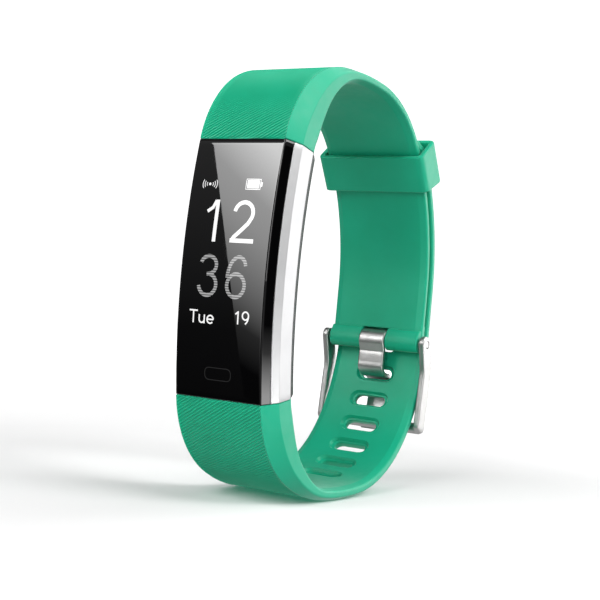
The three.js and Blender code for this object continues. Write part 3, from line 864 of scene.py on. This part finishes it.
def stroke(points, width, closed=False):
    """A line of even width on the display face, as the rings of a thin solid that follows its curve."""
    corners = [Vector(p) for p in points]
    spans = list(zip(corners, corners[1:] + corners[:1])) if closed else list(zip(corners, corners[1:]))
    line = []
    for start, stop in spans:
        parts = max(1, round((stop - start).length / MARK_STEP))
        line += [start.lerp(stop, i / parts) for i in range(parts)]
    if not closed:
        line.append(corners[-1])
    rings = []
    for i, point in enumerate(line):
        ahead = line[(i + 1) % len(line)] if closed or i + 1 < len(line) else point
        behind = line[i - 1] if closed or i else point
        along = (ahead - behind).normalized()
        side = Vector((-along.y, along.x)) * width / 2
        ring = []
        for sign, depth in ((1, -MARK_LIFT), (-1, -MARK_LIFT), (-1, MARK_LIFT), (1, MARK_LIFT)):
            x, along_face = point + side * sign
            place = face_at(along_face, depth)
            ring.append((x, place.y, place.z))
        rings.append(ring)
    return rings, closed


def mark(name, strokes, look):
    """One display mark, joined from its strokes."""
    points, faces = [], []
    for rings, closed in strokes:
        base, count = len(points), len(rings)
        points += [p for ring in rings for p in ring]
        for r in range(count if closed else count - 1):
            here, there = base + 4 * r, base + 4 * ((r + 1) % count)
            faces += [(here + i, here + (i + 1) % 4, there + (i + 1) % 4, there + i) for i in range(4)]
        if not closed:
            faces += [tuple(range(base, base + 4)), tuple(range(base + 4 * count - 4, base + 4 * count))]
    dress(build(name, points, faces), look, "tracker")


def hour_marks():
    bold = 0.66
    flag = stroke([(-4.3, 8.95), (-3.3, 9.6), (-2.75, 10.75)], 0.55)
    mark("hour_tens", [flag, stroke([(-2.45, 10.87), (-2.45, 4.1)], bold)], LIT)
    hook = arc(2.75, 8.85, 1.72, 1.72, 172, -30, 24)
    hook += [(3.75, 7.2), (2.6, 6.1), (1.35, 5.0), (0.95, 4.35)]
    mark("hour_units", [stroke(hook, bold), stroke([(0.65, 4.43), (5.1, 4.43)], bold)], LIT)


def minute_marks():
    bold = 0.62
    upper = arc(-2.85, 0.35, 1.5, 1.42, 165, -75, 22) + [(-3.1, -1.08)]
    lower = [(-3.1, -1.08)] + arc(-2.85, -2.75, 1.68, 1.72, 82, -172, 26)
    mark("minute_tens", [stroke(upper, bold), stroke(lower, bold)], DIM)
    back = arc(2.9, 0.3, 1.32, 1.55, 8, 95, 10) + arc(2.9, -1.6, 2.0, 3.45, 98, 178, 14)
    bowl = arc(2.6, -2.65, 1.66, 1.82, 0, 350, 36)
    mark("minute_units", [stroke(back, bold), stroke(bowl, bold, True)], DIM)


def date_marks():
    fine = 0.24
    weekday = [
        stroke([(-5.9, -7.02), (-4.3, -7.02)], fine), stroke([(-5.1, -7.0), (-5.1, -9.0)], fine),
        stroke([(-3.95, -7.6)] + arc(-3.45, -8.4, 0.5, 0.48, 180, 360, 10) + [(-2.95, -7.6)], fine),
        stroke([(-2.95, -7.6), (-2.95, -9.0)], fine), stroke([(-2.4, -8.28), (-1.2, -8.28)], fine),
        stroke(arc(-1.8, -8.28, 0.6, 0.62, 0, 318, 22), fine),
    ]
    mark("weekday", weekday, LIT)
    day = [
        stroke([(3.0, -7.1), (3.5, -6.7)], fine), stroke([(3.5, -6.6), (3.5, -8.65)], fine),
        stroke(arc(4.9, -7.25, 0.58, 0.62, 0, 342, 20), fine, True),
        stroke(arc(4.5, -7.25, 0.98, 1.4, 0, -66, 8), fine),
    ]
    mark("day_of_month", day, LIT)


def status_marks():
    thin = 0.12
    waves = [stroke(arc(-4.58, 13.4, 0.12, 0.12, 0, 324, 9), 0.22, True)]
    for radius in (0.6, 1.0, 1.4):
        for middle in (0, 180):
            wave = arc(-4.58, 13.4, radius, radius * 0.95, middle - 31, middle + 31, 8)
            waves.append(stroke(wave, thin))
    mark("signal_sign", waves, LIT)
    shell = [(2.4, 12.68), (5.1, 12.68), (5.1, 14.32), (2.4, 14.32)]
    charge = stroke([(2.62, 13.5), (4.88, 13.5)], 1.3)
    knob = stroke([(5.32, 13.15), (5.32, 13.85)], 0.26)
    mark("battery_sign", [stroke(shell, thin, True), charge, knob], LIT)
    key = [(x, z - 16.9) for x, z in rounded_box(2.5, 0.98, 0.9)]
    mark("key_outline", [stroke(key, thin, True)], FAINT)


# ---- studio ----
def area_light(name, place, size, power):
    """A soft light that faces the middle of the band."""
    data = bpy.data.lights.new(name, "AREA")
    data.shape = "RECTANGLE"
    data.size, data.size_y = size
    data.energy = power
    light = bpy.data.objects.new(name, data)
    light.location = place
    light.rotation_euler = (Vector((0, 0, 0.035)) - Vector(place)).to_track_quat("-Z", "Y").to_euler()
    bpy.context.scene.collection.objects.link(light)


def backdrop():
    """A pale sweep that is flat under the band and rises far behind it on every side."""
    flat, rise, around = 1.6, 0.9, 72
    climb = spread(0, math.pi / 2, 10)[1:]
    radii = [0.02, 0.2, 0.8, flat] + [flat + rise * math.sin(a) for a in climb]
    heights = [0, 0, 0, 0] + [rise * (1 - math.cos(a)) for a in climb]
    turns = spread(0, 2 * math.pi, around)[:-1]
    points, faces = [], []
    for radius, height in zip(radii, heights):
        points += [(radius * math.cos(a), radius * math.sin(a), height) for a in turns]
    for r in range(len(radii) - 1):
        here, there = r * around, (r + 1) * around
        for i in range(around):
            j = (i + 1) % around
            faces.append((here + i, here + j, there + j, there + i))
    faces.append(tuple(reversed(range(around))))
    floor = staged("floor", points, faces, floor_look())
    floor.data.shade_smooth()
    floor.visible_glossy = False
    floor.visible_diffuse = False


def staged(name, points, faces, look):
    mesh = bpy.data.meshes.new(name)
    mesh.from_pydata(points, [], faces)
    mesh.materials.append(look)
    piece = bpy.data.objects.new(name, mesh)
    bpy.context.scene.collection.objects.link(piece)
    return piece


def floor_look():
    """Pale paper that brightens away from the band with light of its own."""
    look = Look("floor_paper")
    look.link(look.colours(look.noise(300), (0.83,) * 3, (0.86,) * 3), look.shader, "Base Color")
    reach = look.nodes.new("ShaderNodeVectorMath")
    reach.operation = "LENGTH"
    look.link(look.space, reach, 0)
    look.link(look.span(reach.outputs["Value"], 0, 0.95, 0.09, 0.6), look.shader, "Emission Strength")
    look.set(Emission_Color=(1, 1, 1, 1), Roughness=0.9, Specular_IOR_Level=0.1)
    return look.material


def card_look(name, tilt, positions, strength):
    """Light that is graded up the card, and across it by the tilt."""
    look = Look(name)
    look.nodes.remove(look.shader)
    emission = look.nodes.new("ShaderNodeEmission")
    emission.inputs["Strength"].default_value = strength
    split = look.nodes.new("ShaderNodeSeparateXYZ")
    look.link(look.space, split, "Vector")
    climb = look.nodes.new("ShaderNodeMath")
    climb.operation = "MULTIPLY_ADD"
    look.link(split.outputs["X"], climb, 0)
    climb.inputs[1].default_value = tilt
    look.link(split.outputs["Z"], climb, 2)
    low, high = positions[0][0], positions[-1][0]
    ramp = look.nodes.new("ShaderNodeValToRGB")
    look.link(look.span(climb.outputs["Value"], 0, 1, low, high), ramp, "Fac")
    stops = ramp.color_ramp.elements
    while len(stops) < len(positions):
        stops.new(0.5)
    for stop, (height, value) in zip(stops, positions):
        stop.position = (height - low) / (high - low)
        stop.color = (value, value, value, 1)
    look.link(ramp.outputs["Color"], emission, "Color")
    look.link(emission.outputs["Emission"], look.nodes["Material Output"], "Surface")
    return look.material


def card(name, place, points, faces, look):
    piece = staged(name, points, faces, look)
    piece.location = place
    piece.visible_camera = False
    piece.visible_diffuse = False
    piece.visible_shadow = False


def reflector_cards():
    """Cards seen only in reflections: the slanted sheen on the glass, the dark beside it, and a glint."""
    foot, low_handle = Vector((-0.004, -0.200)), Vector((0.032, -0.010))
    high_handle, head = Vector((0.013, 0.140)), Vector((-0.070, 0.335))
    left_edge = []
    for t in spread(0, 1, 20):
        low = foot * (1 - t) ** 3 + low_handle * 3 * t * (1 - t) ** 2
        high = high_handle * 3 * t * t * (1 - t) + head * t**3
        left_edge.append(low + high)
    points = [(x, 0, z) for x, z in left_edge] + [(0.06, 0, z) for _, z in left_edge]
    count = len(left_edge)
    faces = [(i, i + 1, count + i + 1, count + i) for i in range(count - 1)]
    heights = [(-0.09, 0), (-0.01, 0.026), (0.155, 0.4), (0.2, 0.46), (0.277, 0.92), (0.31, 1)]
    card("sheen_card", (-0.3, -0.45, 0), points, faces, card_look("sheen_card", 1.6, heights, 15))
    points = [(-0.2, 0, -0.3), (0.14, 0, -0.3), (0.14, 0, 0.4), (-0.2, 0, 0.4)]
    heights = [(-0.3, 0), (-0.05, 0.1), (0.4, 1)]
    look = card_look("shade_card", 0, heights, 0.45)
    card("shade_card", (-0.3, -0.47, 0), points, [(0, 1, 2, 3)], look)
    points = [(0, -0.12, -0.25), (0, 0.16, -0.25), (0, 0.16, 0.2), (0, -0.12, 0.2)]
    heights = [(-0.25, 1), (-0.075, 1), (-0.03, 0.1), (0, 0)]
    card("glint_card", (0.5, 0, 0), points, [(0, 1, 2, 3)], card_look("glint_card", 0, heights, 7))


def sky():
    """Soft light, strongest from below, as off a pale floor, and weakest overhead."""
    sky_world = bpy.data.worlds.new("studio")
    sky_world.use_nodes = True
    nodes, links = sky_world.node_tree.nodes, sky_world.node_tree.links
    space = nodes.new("ShaderNodeTexCoord")
    split = nodes.new("ShaderNodeSeparateXYZ")
    height = nodes.new("ShaderNodeMapRange")
    height.inputs["From Min"].default_value = -1
    ramp = nodes.new("ShaderNodeValToRGB")
    links.new(space.outputs["Generated"], split.inputs["Vector"])
    links.new(split.outputs["Z"], height.inputs["Value"])
    links.new(height.outputs["Result"], ramp.inputs["Fac"])
    links.new(ramp.outputs["Color"], nodes["Background"].inputs["Color"])
    stops = ramp.color_ramp.elements
    stops.new(0.5)
    for stop, (position, value) in zip(stops, SKY):
        stop.position = position
        stop.color = (value, value, value, 1)
    bpy.context.scene.world = sky_world


def studio():
    sky()
    backdrop()
    reflector_cards()
    area_light("rim", (0.50, 0.78, 0.20), (0.8, 0.6), 4.5)
    area_light("key", (0.72, 0.10, 0.62), (0.5, 0.5), 6)
    area_light("front", (-0.10, -0.75, 0.62), (0.6, 0.6), 7)
    area_light("fill", (0.30, -0.90, 0.24), (0.6, 0.4), 3.2)
    area_light("back", (0.15, 0.65, 0.75), (0.5, 0.5), 2.5)
    bpy.context.scene.view_settings.view_transform = "Standard"


def camera():
    """The eye stands low at the front right, looking level past the band."""
    data = bpy.data.cameras.new("camera")
    data.lens = 69.888
    data.sensor_width = 36
    data.clip_start, data.clip_end = 0.01, 20
    eye = bpy.data.objects.new("camera", data)
    right = Vector((0.8525, 0.51448, 0.09248))
    up = Vector((-0.0699, -0.06312, 0.99555))
    turn = Matrix((right, up, right.cross(up))).transposed()
    eye.matrix_world = Matrix.Translation((0.105945, -0.180310, 0.030455)) @ turn.to_4x4()
    bpy.context.scene.collection.objects.link(eye)
    bpy.context.scene.camera = eye


camera()
studio()
display_lens()
side_trim(-1, "left_trim", "side_trim_left")
side_trim(1, "right_trim", "side_trim_right")
rear_cover()
sensor_window()
hour_marks()
minute_marks()
date_marks()
status_marks()
upper_strap()
lower_strap()
keeper()
buckle_frame()
buckle_pin()
buckle_tongue()
